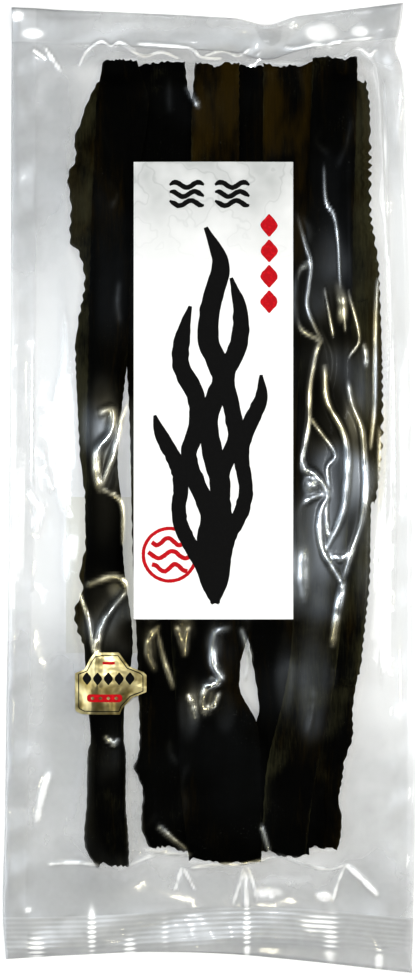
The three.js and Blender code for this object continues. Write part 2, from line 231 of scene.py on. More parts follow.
# Each strip, from the bottom of the pile to the top. Its stations run from the top end to the
# foot: place along the pouch, left edge, right edge. Curl is how high its face arches, and brown
# and olive are how much the blade has of either colour at its top end and at its foot. Frill is
# how far its edges wave, and lips are where its folds lie across it, from -1 to 1.
strips = {
    "outer_left": dict(
        curl=6.2, brown=(0.6, 0.3), olive=(0.9, 0.6), frill=1.3, lips=(-0.3,),
        stations=[
            (201, -56.5, -40), (189, -62, -41), (182, -64, -41), (175, -67, -42), (164, -66.5, -44),
            (156, -70.3, -45), (141, -68.8, -45), (122, -69, -44), (118, -65, -43), (103, -62, -42),
            (82, -65.5, -44), (74, -66.5, -45), (62, -66.5, -46), (40, -65.5, -47), (12, -64, -47),
            (-4, -61.8, -45), (-29, -61.6, -45), (-43, -64.5, -46), (-51, -63, -46),
            (-61, -67, -46), (-71, -65.5, -45), (-82, -61, -45), (-102, -59, -45),
        ],
    ),
    "outer_right": dict(
        curl=6.4, brown=(0.8, 0.8), olive=(1.3, 1.1), frill=2.6, lips=(0.5,),
        stations=[
            (203, 64, 78), (190, 66, 80), (137, 68, 80.5), (124, 69, 82.5), (109, 70, 84.5),
            (43, 71, 86.5), (8, 71, 85), (-6, 70, 83),
        ],
    ),
    "far_right": dict(
        curl=5.6, brown=(0.35, 0.3), olive=(0.8, 0.7), frill=0.9, lips=(0.2,),
        stations=[(10, 66, 81), (-21, 64, 80.5), (-46, 62, 80), (-66, 60, 78), (-95, 56, 75)],
    ),
    "under_label": dict(
        curl=3.4, brown=(0.4, 0.2), olive=(0.1, 0.3), frill=0.5, lips=(0.0,),
        stations=[(210, 13, 31), (93, 8, 29), (-57, 2, 24), (-82, 0, 17), (-98, -2, 12)],
    ),
    "middle_left": dict(
        curl=3.6, brown=(0.1, 0.0), olive=(0.1, 0.1), frill=0.6, lips=(-0.45, 0.2),
        stations=[
            (212, -38, -12), (199, -38, -10.5), (189, -39, -7), (143, -46, -6.5),
            (43, -40, -5), (-36, -38, -10), (-77, -36, -11), (-124, -34.6, -12),
            (-134, -35.4, -11), (-139, -37.6, -11), (-144, -35.4, -11), (-151, -33, -11),
            (-162, -33.6, -10), (-170, -33.6, -10), (-179, -30, -9),
        ],
    ),
    "middle_right": dict(
        curl=3.6, brown=(0.9, 0.0), olive=(0.3, 0.1), frill=0.6, lips=(-0.35, 0.3),
        stations=[
            (211, 27, 53), (93, 26, 51), (18, 24, 47), (-66, 19, 45), (-86, 21.5, 44),
            (-97, 23.5, 44), (-111, 25, 45), (-120, 23, 46), (-182, 22, 50),
        ],
    ),
    "low_right": dict(
        curl=3.0, brown=(0.4, 0.15), olive=(0.7, 0.4), frill=0.8, lips=(0.35,),
        stations=[
            (93, 60, 79), (-7, 60, 79), (-46, 58, 78.5), (-67, 56, 77), (-92, 53, 74),
            (-111, 50, 71.5), (-124, 48, 71.5), (-136, 46, 67.5), (-144, 45, 66.5),
            (-156, 43, 64.5), (-163, 42, 66), (-174, 41, 65.5), (-180, 40, 64),
        ],
    ),
    "middle": dict(
        curl=4.0, brown=(0.9, 0.0), olive=(0.2, 0.0), frill=0.5, lips=(-0.5, 0.15),
        stations=[
            (211, -7, 15), (189, -8.5, 15), (163, -9, 15), (43, -14, 11), (-67, -19, 13),
            (-88, -18, 15.5), (-101, -17, 15.5), (-118, -16, 24), (-150, -14, 26),
            (-186, -10, 26),
        ],
    ),
    "left": dict(
        curl=3.0, brown=(0.2, 0.1), olive=(0.1, 0.25), frill=0.5, lips=(0.35,),
        stations=[
            (213, -53, -36), (190, -56, -30), (143, -58, -37), (73, -60, -40), (15, -61, -45.5),
            (-16, -61.6, -42.5), (-29, -61, -43), (-43, -62, -42), (-77, -62, -38),
            (-107, -60.5, -42), (-126, -59, -42.5), (-132, -60.5, -41.5), (-157, -61, -41.5),
            (-178, -62, -40), (-188, -57, -40),
        ],
    ),
    "right": dict(
        curl=2.8, brown=(0.1, 0.15), olive=(0.1, 0.35), frill=0.4, lips=(-0.5, 0.4),
        stations=[
            (214, 51.5, 74), (143, 49, 72), (43, 44, 70), (-37, 42, 68), (-77, 41, 64.5),
            (-104, 37, 61), (-137, 29, 54), (-160, 27, 50.5), (-181, 26, 48),
        ],
    ),
}
blade = 1.0  # the dried blade's thickness
crinkle = 0.9  # how far its face is crinkled
packed_height, loose_height = 12.5, 11.5  # the drawn-down film flattens the pile towards a level
frill_pitch = 5.3
pile_floor = 0.6

# How high the pile stands on a grid of places a millimetre apart.
reach_x, reach_y = 104, 244
grid_x, grid_y = np.meshgrid(
    np.arange(-reach_x, reach_x + 1.0), np.arange(-reach_y, reach_y + 1.0)
)
pile = np.full(grid_x.shape, pile_floor)


def blurred(field, spread, spread_along=None):
    """A field softened by a bell curve of this spread, or of another spread along the pouch."""
    for axis, spread in enumerate((spread_along or spread, spread)):
        offsets = np.arange(-3 * spread, 3 * spread + 1)
        bell = np.exp(-((offsets / spread) ** 2) / 2)
        bell /= bell.sum()
        pad = [(0, 0), (0, 0)]
        pad[axis] = (len(offsets) // 2, len(offsets) // 2)
        padded = np.pad(field, pad, "edge")
        length = field.shape[axis]
        field = sum(
            weight * np.take(padded, range(n, n + length), axis) for n, weight in enumerate(bell)
        )
    return field


def highest_near(field, steps, steps_along=None):
    """A field's highest value within so many steps, or another number of steps along it."""
    for axis, reach in enumerate((steps_along or steps, steps)):
        field = np.max([np.roll(field, step, axis) for step in range(-reach, reach + 1)], axis=0)
    return field


def between(field, row, column):
    """A field read between its rows and columns."""
    j, i = row.astype(int), column.astype(int)
    v, u = row - j, column - i
    low = field[j, i] * (1 - u) + field[j, i + 1] * u
    high = field[j + 1, i] * (1 - u) + field[j + 1, i + 1] * u
    return low * (1 - v) + high * v


def sampled(field, x, y):
    """A field of the pile's grid read at any place."""
    column = np.clip(x + reach_x, 0, field.shape[1] - 1.001)
    return between(field, np.clip(y + reach_y, 0, field.shape[0] - 1.001), column)


def pressed(height):
    """The height in the pile as packed, from the height as loosely piled."""
    return packed_height * np.tanh(height / loose_height)


def strip_edges(strip, seed, y):
    """The left and right edges of a strip at these places along it, with their frill."""
    left = along([(at, edge) for at, edge, _ in strip["stations"]], y)
    right = along([(at, edge) for at, _, edge in strip["stations"]], y)
    wave = np.sin(2 * np.pi * (y / frill_pitch + 0.6 * wander(y, 14, seed)))
    size = strip["frill"] * (0.55 + 0.45 * wander(y, 23, seed + 1))
    other = np.sin(2 * np.pi * (y / (1.3 * frill_pitch) + 0.7 * wander(y, 17, seed + 2)))
    return left + 0.45 * size * other, right + 0.45 * size * wave


def strip_surface(strip, seed, s, y):
    """How high a strip's face stands above what it lies on, and how brown and olive it is."""
    arch = (1 - np.abs(s) ** 3.4) ** 0.65
    ends = [at for at, _, _ in strip["stations"]]
    sag = np.clip((ends[0] - y) / 12, 0, 1) * np.clip((y - ends[-1]) / 12, 0, 1)
    rise = strip["curl"] * arch * (0.55 + 0.45 * sag) * (1 + 0.16 * wander(y, 31, seed + 3))
    down = (ends[0] - y) / (ends[0] - ends[-1])
    brown, olive = (top + (foot - top) * down for top, foot in (strip["brown"], strip["olive"]))
    brown = brown + 0.25 * wander(y + 40 * s, 37, seed + 4)
    olive = olive + 0.35 * wander(y - 30 * s, 29, seed + 12) + 0.5 * np.abs(s) ** 12
    for n, lip in enumerate(strip["lips"]):
        place = lip + 0.16 * wander(y, 42, seed + 5 + n)
        over = np.tanh((s - place) / 0.06)
        rise = rise + 0.55 * (1 + over)
        brown = brown + 0.15 * np.exp(-(((s - place) / 0.07) ** 2))
    ripple = np.sin(2 * np.pi * (y / frill_pitch + wander(y, 14, seed)))
    rise = rise + 0.4 * strip["frill"] * np.abs(s) ** 7 * (1 + ripple)
    rise = rise + 0.22 * (1 + wander(y + 9 * s, 6, seed + 8)) + 0.2 * (1 + wander(s, 0.17, seed + 9))
    brown = brown + 0.2 * np.abs(s) ** 8
    return blade + rise, np.clip(brown, 0, 1), np.clip(olive, 0, 1)


def blade_nodes():
    """Geometry nodes that crinkle a strip's upper face and thicken it into a closed blade."""
    tree = bpy.data.node_groups.new("blade_from_face", "GeometryNodeTree")
    kinds = {
        "Geometry": "Geometry", "Thickness": "Float", "Crinkle": "Float",
        "Crinkle Scale": "Float", "Seed": "Float", "Material": "Material",
    }
    for title, kind in kinds.items():
        tree.interface.new_socket(title, in_out="INPUT", socket_type="NodeSocket" + kind)
    tree.interface.new_socket("Geometry", in_out="OUTPUT", socket_type="NodeSocketGeometry")
    face, thickness, height, scale, seed, skin = add_node(tree, "NodeGroupInput")[:len(kinds)]
    relief = add_node(tree, "TexNoise", noise_dimensions="4D", W=seed, Scale=scale, Detail=3.0)[0]
    lift = add_node(tree, "CombineXYZ", Z=relief * height)[0]
    top = add_node(tree, "GeometryNodeSetPosition", Geometry=face, Offset=lift)[0]
    down = add_node(tree, "CombineXYZ", Z=thickness * -1)[0]
    under = add_node(tree, "GeometryNodeFlipFaces", Mesh=top)[0]
    sunk = add_node(
        tree, "GeometryNodeExtrudeMesh", Mesh=under, Offset=down, Offset_Scale=1.0,
        Individual=False,
    )[0]
    both = add_node(tree, "GeometryNodeJoinGeometry", Geometry=[sunk, top])[0]
    weld = add_node(tree, "GeometryNodeMergeByDistance", Geometry=both, Distance=0.01 * MM)[0]
    real = add_node(tree, "GeometryNodeRealizeInstances", Geometry=weld)[0]
    dressed = add_node(tree, "GeometryNodeSetMaterial", Geometry=real, Material=skin)[0]
    add_node(tree, "NodeGroupOutput", Geometry=dressed)
    return tree


def run_nodes(piece, tree, **settings):
    """Runs a node tree on a piece and leaves its result as the piece's plain mesh."""
    modifier = piece.modifiers.new("nodes", "NODES")
    modifier.node_group = tree
    for item in tree.interface.items_tree:
        setting = item.name.replace(" ", "_")
        if item.in_out == "INPUT" and setting in settings:
            modifier[item.identifier] = settings[setting]
    bpy.context.view_layer.update()
    made = bpy.data.meshes.new_from_object(
        piece.evaluated_get(bpy.context.evaluated_depsgraph_get())
    )
    piece.modifiers.clear()
    piece.data = made
    made.shade_smooth()


def kelp_skin(tree):
    """Near-black kelp that turns brown and olive where its attributes say, with pale salt."""
    place = add_node(tree, "TexCoord")[3]
    brown = add_node(tree, "Attribute", attribute_name="brown")[2]
    olive = add_node(tree, "Attribute", attribute_name="olive")[2]
    squeezed = add_node(tree, "Mapping", Vector=place, Scale=(1, 0.10, 1))[0]
    slack = add_node(tree, "Mapping", Vector=place, Scale=(1, 0.35, 1))[0]
    streaks, fine = noise(squeezed, 380.0, 4.0), noise(squeezed, 1300.0, 3.0)
    folds_and_shade, blotches = noise(slack, 75.0, 2.0), noise(place, 60.0, 5.0)
    dust = noise(place, 900.0, 3.0)
    # Painted shade: the brown is darker in broad soft bands that follow the bump's folds.
    tone = brown * folds_and_shade.rises(0.25, 0.65) + (streaks - 0.5) * 0.5 + (fine - 0.5) * 0.4
    near_black, warm_brown = (0.0003, 0.0004, 0.0002, 1), (0.0200, 0.0120, 0.0004, 1)
    thin_olive, pale_salt = (0.030, 0.029, 0.014, 1), (0.06, 0.062, 0.056, 1)
    skin = mix_colours(tree, tone.rises(0.1, 1.0), near_black, warm_brown)
    thin = (olive + (blotches - 0.5) * 1.4 + (fine - 0.5) * 0.8).rises(0.3, 1.4)
    skin = mix_colours(tree, thin, skin, thin_olive)
    salt = dust.rises(0.62, 0.74) * blotches.rises(0.52, 0.68) * 0.35
    skin = mix_colours(tree, salt, skin, pale_salt)
    relief = streaks * 0.8 + folds_and_shade * 1.2 + fine * 0.35 + dust * 0.1
    bump = add_node(tree, "Bump", Strength=0.6, Distance=0.8 * MM, Height=relief)[0]
    return add_node(
        tree, "BsdfPrincipled", Base_Color=skin, Roughness=0.45 + streaks * 0.3,
        Specular_IOR_Level=0.02, Normal=bump,
    )[0]


def torn(end, tear, s, seed):
    """Where a strip's torn end lies along the pouch, for places s across the strip."""
    return end + tear * (wander(s * 10, 4.2, seed) + 0.5 * wander(s * 10, 1.1, seed + 1))


def quads_on(at):
    """The faces of a grid of points, from the points' numbers."""
    return np.stack([at[:-1, :-1], at[:-1, 1:], at[1:, 1:], at[1:, :-1]], -1).reshape(-1, 4)


kelp = new_material("dried_kelp", kelp_skin)
blade_tree = blade_nodes()
coarse = 1
rows_apart = 0.9 * coarse
columns_across = 40 // coarse
clearance = 0.15  # from the pile to the strip that is laid on it
crinkle_room = 0.7  # above a strip's smooth form
top_tear, foot_tear = 1.5, 1.6  # how far a strip's ends are torn in and out
for number, (name, strip) in enumerate(strips.items()):
    seed = 100 * number + 7
    ends = strip["stations"][0][0], strip["stations"][-1][0]
    bed = blurred(highest_near(pile, 1), 2) + clearance
    s = np.linspace(-1, 1, columns_across + 1)
    s = np.sign(s) * np.abs(s) ** 0.85
    rows = int((ends[0] - ends[1]) / rows_apart)
    ss, tt = np.meshgrid(s, np.linspace(0, 1, rows + 1))
    top_end = torn(ends[0], top_tear, ss, seed + 20)
    foot_end = torn(ends[1], foot_tear, ss, seed + 30)
    yy = foot_end + (top_end - foot_end) * tt
    left, right = strip_edges(strip, seed, yy)
    xx = (left + right + ss * (right - left)) / 2
    rise, brown, olive = strip_surface(strip, seed, ss, yy)
    zz = pressed(sampled(bed, xx, yy) + rise)
    at = np.arange(xx.size).reshape(xx.shape)
    piece = mesh_piece(
        "kelp_" + name, np.stack([xx, yy, zz], -1).reshape(-1, 3), quads_on(at).tolist(),
        brown=brown, olive=olive,
    )
    run_nodes(
        piece, blade_tree, Thickness=blade * MM, Crinkle=crinkle * MM, Crinkle_Scale=160.0,
        Seed=float(seed), Material=kelp,
    )
    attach(piece, "root")
    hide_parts("bag")

    # The strip raises the pile for the ones above it.
    left, right = strip_edges(strip, seed, grid_y)
    across = (2 * grid_x - left - right) / (right - left)
    under = (np.abs(across) <= 1) & (grid_y < ends[0] + 1) & (grid_y > ends[1] - 1)
    rise, _, _ = strip_surface(strip, seed, np.clip(across, -1, 1), grid_y)
    pile = np.where(under, np.maximum(pile, bed + rise + crinkle_room), pile)

pile = pressed(pile)

# ------------------------------------------------------------------------------------------
# Film pouch. Two clear films sealed together all round and drawn down over the kelp when the
# air was let out. The foot's seal is crimped into ribs. Loose film stands up in creases.
# ------------------------------------------------------------------------------------------
pouch_width, pouch_length = 206, 485
half_width, half_length = pouch_width / 2, pouch_length / 2
side_seal, top_seal = 12, 17
ribs, rib_pitch, rib_rise = 8, 2.4, 0.11
# Where the lowest rib runs: places across and along.
rib_line = [(-103, -233.5), (-58, -232.5), (20, -228), (60, -230), (103, -234)]
# How far in each side's edge strays: place along the side, distance.
strays = {
    "left": [(-242, 1.5), (-186, 0), (-110, 1.5), (60, 3.5), (242, 4.5)],
    "right": [(-242, 1.5), (-100, 0), (110, 1.5), (190, 6), (214, 10), (242, 6)],
    "foot": [(-103, 7), (-70, 9), (-11, 11), (40, 7), (103, 0)],
    "top": [(-103, 2.5), (-40, 5), (12, 8), (29, 12), (45, 7), (97, 0)],
}
curls = [
    # (side, place along it, reach, rise)
    ("top", 29, 30, 5), ("top", -96, 26, 2.5), ("right", 206, 42, 4.5), ("foot", -8, 34, 2.5),
]
film_columns, upper_rows = ((252, 344))
lip_rows, rows_per_rib = 3, 4
crimp_rows = lip_rows + ribs * rows_per_rib
film_rows = crimp_rows + upper_rows


def graded(count, start, end, zones):
    """Rising shares from 0 to 1 that stand closer in zones: middle, half width and closeness."""
    even = np.linspace(0, 1, 2001)
    place = start + even * (end - start)
    close = 0.7 + sum(
        closer * np.exp(-(((place - middle) / half) ** 4)) for middle, half, closer in zones
    )
    total = np.r_[0, np.cumsum((close[1:] + close[:-1]) / 2)]
    return np.interp(np.linspace(0, 1, count + 1), total / total[-1], even)


# The film's points stand closest where it is creased over the kelp beside and below the label.
across = graded(
    film_columns, -half_width, half_width, [(8, 78, 0.3), (64, 22, 0.9), (-54, 16, 0.7)]
)[None, :]
crimp_end, top_edge = -210, 238
upward = graded(
    upper_rows, crimp_end, top_edge,
    [(-85, 32, 0.6), (20, 70, 0.35), (216, 11, 1.3), (-190, 17, 1.0)],
)
upward = np.r_[np.zeros(crimp_rows), upward][:, None]
row_number = np.arange(film_rows + 1)[:, None]
rough_y = -half_length + pouch_length * row_number / film_rows
left = -half_width + along(strays["left"], rough_y)
right = half_width - along(strays["right"], rough_y)
film_x = left + (right - left) * across
foot = -half_length + along(strays["foot"], film_x)
top = half_length - along(strays["top"], film_x)
lowest_rib = along(rib_line, film_x)
seal_end = lowest_rib + ribs * rib_pitch
in_lip = foot + (lowest_rib - foot) * row_number / lip_rows
in_crimp = lowest_rib + (row_number - lip_rows) * rib_pitch / rows_per_rib
above = seal_end + (top - seal_end) * upward
film_y = np.where(
    row_number < lip_rows, in_lip, np.where(row_number < crimp_rows, in_crimp, above)
)

# How far in from each side a point lies, from 0 at the edge to 1 where the seal ends.
into = {
    "left": (film_x - left) / side_seal,
    "right": (right - film_x) / side_seal,
    "foot": np.where(row_number < crimp_rows, row_number / crimp_rows, 1),
    "top": (top - film_y) / top_seal,
}
into = {side: np.clip(share + 0 * film_x, 0, 1) for side, share in into.items()}
inward = np.minimum.reduce(list(into.values()))
sealed = inward < 1

# The seals' height: their curled corners, the ribs of the crimp and gentle puckers.
seam = 0.6
seal_height = np.full(film_x.shape, seam)
for side, place, span, rise in curls:
    where = film_y if side in ("left", "right") else film_x
    near = 1 - np.clip(np.abs(where - place) / span, 0, 1)
    seal_height += rise * near * near * (3 - 2 * near) * (1 - into[side]) ** 2
in_ribs = (row_number >= lip_rows) & (row_number < crimp_rows)
rib_wave = np.sin(np.pi * (row_number - lip_rows) / rows_per_rib) ** 2
rib_height = rib_rise * rib_wave * (1 + 0.3 * wander(film_x, 7, 3))
seal_height = seal_height + np.where(in_ribs, rib_height, 0)
puckers = 2 + wander(film_x + 0.5 * film_y, 11, 5) + wander(film_y - 0.4 * film_x, 11, 6)
seal_height += 0.55 * puckers * np.clip(4 * inward, 0, 1)


def pulls(places):
    """How strongly each inner point of a line is tied to the one before and the one after."""
    steps = np.diff(places)
    both = steps[1:] + steps[:-1]
    return 2 / (both * steps[:-1]), 2 / (both * steps[1:])


def relax(height, floor_height, fixed, weight, sweeps=700, haste=1.93):
    """Settles a skin over a floor: every point takes its neighbours' mean less the weight."""
    row, column = np.indices(height.shape)
    to_left, to_right = pulls(film_x[film_rows // 2])
    to_foot, to_top = (tie[:, None] for tie in pulls(film_y[:, film_columns // 2]))
    share = 1 / (to_left + to_right + to_foot + to_top)
    for _ in range(sweeps):
        for parity in (0, 1):
            mean = height.copy()
            mean[1:-1, 1:-1] = share * (
                to_left * height[1:-1, :-2] + to_right * height[1:-1, 2:]
                + to_foot * height[:-2, 1:-1] + to_top * height[2:, 1:-1] - weight
            )
            settled = np.maximum(floor_height, height + haste * (mean - height))
            moves = ~fixed & ((row + column) % 2 == parity)
            height = np.where(moves, settled, height)
    return height


def node_box(node):
    """A CAD node's lowest and highest corners in millimetres."""
    return [np.array(corner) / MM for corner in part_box(node)]


# The label's stiffness makes a level bed of the film under it.
label_low, label_high = node_box("front_label")
label_x, label_y = (label_low[0], label_high[0]), (label_low[1], label_high[1])
label_camber = 0.8
bed_drop = 0.8
bed_level = label_high[2] - bed_drop - 1.5 * label_camber
apron = 2


def label_bed(x, y):
    """The film's level under the label: arched across and a little lower towards the top."""
    across_label = (x - sum(label_x) / 2) / (label_x[1] - label_x[0])
    up_label = (y - sum(label_y) / 2) / (label_y[1] - label_y[0])
    return bed_level + label_camber * (np.cos(np.pi * across_label) - up_label)


outside = np.maximum.reduce(
    [label_x[0] - film_x, film_x - label_x[1], label_y[0] - film_y, film_y - label_y[1]]
)
on_bed = outside < apron
cover = 0.45  # from the strips to the film drawn down on them
blurred_pile = sampled(blurred(highest_near(pile, 2, 8), 2, 6), film_x, film_y)
obstacle = np.where(
    sealed, 0, np.where(on_bed, label_bed(film_x, film_y), blurred_pile + cover)
)
start = np.where(on_bed, obstacle, np.maximum(seal_height, obstacle))
film_z = relax(start, obstacle, sealed | on_bed, weight=0.016)

# Creases: how high each stands, how far it spreads to either side and its route.
creases = [
    (0.5, 0.9, [(43, 137), (47, 124), (50.5, 111.5), (49.5, 100), (49, 89.5), (55.5, 73.5)]),
    (0.45, 1.25, [(50.5, 111.5), (45.5, 109), (43, 101), (42.8, 89), (45.5, 79), (55.5, 73)]),
    (0.6, 1.3, [(55.5, 73), (53, 66.8), (50, 49.7), (49.5, 32.7), (46.4, 15.5), (47, 10.5)]),
    (1.0, 1.8, [(46.4, 14), (47.5, 9.5), (51.4, 7.5), (55.5, 3), (59.5, -3.5)]),
    (0.9, 1.5, [
        (57.5, 60), (58.5, 44), (66, 29.3), (68.5, 19), (68, 2.5), (65.5, -14.5), (57, -32),
    ]),
    (0.9, 1.6, [
        (69, 52), (71, 41.8), (75.8, 29.3), (76.9, 15.5), (77.5, 0.5), (75.9, -16), (70.5, -32.5),
        (67, -44.5),
    ]),
    (0.4, 1.0, [(50, 35), (55.3, 28), (62.5, 16.8), (58.5, 10), (59.8, -0.3)]),
    (0.9, 1.4, [(59.5, -3.5), (55.5, -11), (54.5, -21), (56.4, -31), (60.5, -38.5), (66.4, -47.5)]),
    (1.3, 2.0, [(66.4, -45.5), (65.5, -51), (64.5, -56), (63, -64.5), (61.4, -77.5)]),
    (0.5, 1.1, [(59, -3.5), (58, -12.5), (59, -22.5), (62, -21), (64, -15)]),
    (0.5, 1.2, [(57, -32), (61.5, -34), (65.5, -35), (69, -32.5), (73, -26)]),
    (0.7, 1.3, [(59.5, -2.5), (52, -4.5), (47, -7.5)]),
    (0.9, 3.2, [(50, 5), (50.8, 2), (50.5, -2)]),
    (0.8, 3.0, [(46, -31), (44.8, -43), (46.5, -55)]),
    (0.6, 2.6, [(64, 101), (66, 93), (66, 84)]),
    (0.45, 0.8, [(69, 98), (74.5, 75), (69.5, 65)]),
    (0.4, 0.8, [(57.5, 98), (61.5, 76)]),
    (0.3, 0.9, [(57, 160), (58, 143), (62, 135), (64, 121), (65, 101), (67.5, 78)]),
    (0.6, 1.1, [(83.5, 103), (82.5, 85), (82.3, 60), (82, 40), (80, 20)]),
    (0.35, 1.2, [(77, 71), (78, 66), (78, 60)]),
    (0.5, 1.8, [(88, 214), (88.5, 150), (89, 90), (88, 20), (87, -40), (86, -100)]),
    (0.4, 1.5, [(92.5, 130), (92, 60), (93, -10), (92.5, -70)]),
    (0.4, 1.4, [(84.5, 30), (85, -5), (83.5, -35), (82.5, -52)]),
    (1.0, 2.2, [(-55, 37), (-48, 38.5), (-48.5, 28), (-55, 19), (-55.7, 8.5), (-54, -0.5)]),
    (1.0, 1.8, [(-39.7, 44), (-44, 31.5), (-47, 17.5), (-53, 1)]),
    (0.4, 1.2, [(-53, -0.5), (-43.5, -7.5), (-42.5, -27.5)]),
    (1.4, 1.9, [(-39, -49), (-49.5, -62), (-55, -75), (-55.5, -86), (-55, -100)]),
    (0.5, 1.0, [(-64, -52.5), (-59.5, -66.5), (-57.5, -81)]),
    (0.8, 1.8, [(-60, -48), (-46, -44), (-39, -52), (-38, -66)]),
    (0.6, 3.5, [(-74, 106), (-71.5, 70), (-75.5, 38), (-74, 4), (-71, -24), (-71, -66)]),
    (0.9, 2.5, [(-98, 7), (-86, -9), (-86, -23)]),
    (0.9, 2.2, [(-80, -142), (-83, -152), (-86, -166)]),
    (0.7, 2.5, [(-84, 22), (-80, 4), (-78, -2)]),
    (0.9, 1.9, [(-25, -68), (-29.5, -75), (-30, -83), (-27, -90)]),
    (0.8, 1.3, [(-26, -69), (-23, -83), (-18, -99)]),
    (1.0, 1.9, [(-17, -66), (-14.5, -73), (-12, -82)]),
    (1.0, 1.9, [(-9, -66), (-11, -73), (-12, -82)]),
    (1.2, 2.1, [(9.5, -69), (3, -73), (2, -86), (5.5, -95), (-1, -99), (-3, -107), (0, -111)]),
    (0.8, 1.5, [(-3, -110), (2.5, -108), (5, -102)]),
    (0.7, 1.5, [(16, -70), (20, -84), (18, -96)]),
    (0.8, 1.8, [(2, -94), (-3, -105), (-2, -112)]),
    (0.7, 1.6, [(-10, -103), (-6, -114)]),
    (0.6, 1.2, [(26, -168), (30, -181)]),
    (0.7, 1.5, [(-25, -168.5), (-18, -175), (-11.5, -180)]),
    (0.6, 1.0, [(-80, -188), (-68, -187), (-55, -187.6)]),
    (0.6, 1.2, [(-40, -188), (-29.5, -183.5), (-20, -180)]),
    (0.6, 1.1, [(-32, -180), (-20, -182.5), (-9, -182)]),
    (0.6, 1.1, [(-13.6, -189), (-17, -200.5)]),
    (0.6, 1.1, [(-13, -189), (-7, -200.5)]),
    (0.6, 1.1, [(-9, -189), (6, -187.5), (18, -187), (34, -182.4)]),
    (0.8, 1.2, [(18.2, -187), (18.4, -200), (19, -213), (19.4, -226)]),
    (0.7, 1.2, [(18.2, -187), (22, -197), (24, -206)]),
    (0.7, 1.2, [(18.2, -187), (15, -198), (12, -208)]),
    (0.6, 1.1, [(34, -182), (50, -188), (60, -190), (68, -188)]),
    (1.0, 1.6, [(68, -188), (76, -195), (84, -203)]),
    (0.6, 1.1, [(68, -188), (64, -198), (62, -206)]),
    (0.8, 2.4, [(23, -202), (28, -202.5), (33, -203)]),
    (0.8, 2.2, [(54, -203), (57, -204), (60, -204)]),
    (0.6, 1.2, [(-52, -124), (-48, -127), (-45, -126)]),
    (0.9, 0.9, [(-65, 210), (-61, 218), (-54, 223), (-49, 220.5), (-44, 222.5), (-36, 217)]),
    (0.8, 0.9, [(-44, 221), (-33, 215), (-24, 217), (-15, 213.5)]),
    (0.8, 0.9, [(-36, 222), (-22, 221), (-9, 219), (-4, 214.5), (6, 213.5)]),
    (0.8, 0.9, [(-2, 215), (6, 217.5), (14, 215), (20, 219), (27, 223)]),
    (0.7, 0.9, [(24, 216), (31, 222), (42, 219.5), (54, 221.5), (62, 219)]),
    (0.8, 0.9, [(53, 219), (62, 222), (70, 223), (82, 225)]),
    (0.7, 0.9, [(66, 213), (74, 219), (80, 216), (84, 218.5), (90, 211)]),
    (0.7, 1.1, [(-88, 219), (-82, 214.5)]),
    (0.7, 1.1, [(-82, 220), (-78, 214), (-74, 208)]),
    (0.7, 1.4, [(-11, 199), (-5, 190)]),
]


steps_a_point = 30  # along a crease or a stroke of ink


def smooth_line(route, path=along):
    """Close steps along a route, and the places across and along that they lead to."""
    steps = np.linspace(0, len(route) - 1, steps_a_point * len(route))
    x, y = (path(list(enumerate(sides)), steps) for sides in zip(*route))
    return steps, x, y


def crease_field(x, y, rise, spread, route, seed):
    """A crease's height over the film, a ridge that swells and fades, and how folded it is, which
    also sets how white its painted highlight is.
    """
    steps, line_x, line_y = smooth_line(route)
    reach = 3 * spread
    box = (
        (x > line_x.min() - reach) & (x < line_x.max() + reach)
        & (y > line_y.min() - reach) & (y < line_y.max() + reach)
    )
    gap = np.hypot(x[box][:, None] - line_x, y[box][:, None] - line_y)
    nearest = gap.argmin(1)
    taper = np.sin(np.pi * (nearest + 0.5) / len(steps)) ** 0.4
    swell = 1 + 0.25 * wander(nearest, 13, seed)
    ridge, folded = np.zeros(x.shape), np.zeros(x.shape)
    away = gap.min(1) / spread
    ridge[box] = rise * taper * swell * np.exp(-(away**2))
    bright = min(1, 0.3 + 0.8 * rise) * np.clip(0.8 + 0.5 * wander(nearest, 12, seed + 60), 0, 1)
    folded[box] = bright * taper * swell * np.exp(-((away / 0.6) ** 2))
    return ridge, folded


loose, folded = np.zeros(film_x.shape), np.zeros(film_x.shape)
for number, (rise, spread, route) in enumerate(creases):
    ridge, fold = crease_field(film_x, film_y, rise, spread, route, number)
    loose, folded = np.maximum(loose, ridge), np.maximum(folded, fold)

# Small wrinkles along the kelp, drawn at random.
draw = np.random.default_rng(42)
wrinkles, first_wrinkle_seed = 36, 500
for number in range(wrinkles):
    middle = np.array([draw.uniform(-68, 84), draw.uniform(-190, 215)])
    run = draw.uniform(5, 17) * np.array([draw.normal(0, 0.25), 1])
    bend = np.array([draw.normal(0, 2.5), 0])
    route = [tuple(middle - run), tuple(middle + bend), tuple(middle + run)]
    rise, seed = draw.uniform(0.1, 0.25), first_wrinkle_seed + number
    ridge, _ = crease_field(film_x, film_y, rise, 1.5, route, seed)
    loose = np.maximum(loose, ridge)

# The creases die out under the label and in the seals.
free = np.clip((outside - apron) / 4, 0, 1) * np.clip((inward - 0.7) / 0.2, 0, 1) * ~in_ribs
film_z = film_z + loose * free
folded = folded * free

# The closed skin. Under the front film's edge runs the back film's. A ring of faces under the
# seals joins it to their inner line, which bounds one level face.
front = np.arange(film_x.size).reshape(film_x.shape)
points = [np.stack([film_x, film_y, film_z], -1).reshape(-1, 3)]
faces = quads_on(front).tolist()
back_level, edge_thickness = 0.42, 0.15
columns, rows = np.arange(film_columns), np.arange(film_rows)
edge_row = np.r_[0 * columns, rows, 0 * columns + film_rows, film_rows - rows]
edge_column = np.r_[columns, 0 * rows + film_columns, film_columns - columns, 0 * rows]
side_columns = int(np.searchsorted(across[0], side_seal / pouch_width))
top_rows = int(np.sum(1 - upward[crimp_rows:, 0] < top_seal / pouch_length))
line_row = np.clip(edge_row, crimp_rows, film_rows - top_rows)
line_column = np.clip(edge_column, side_columns, film_columns - side_columns)
edge_at, line_at = front[edge_row, edge_column], front[line_row, line_column]
under_edge = film_x.size + np.arange(len(edge_at))
starts_line = line_at != np.roll(line_at, 1)
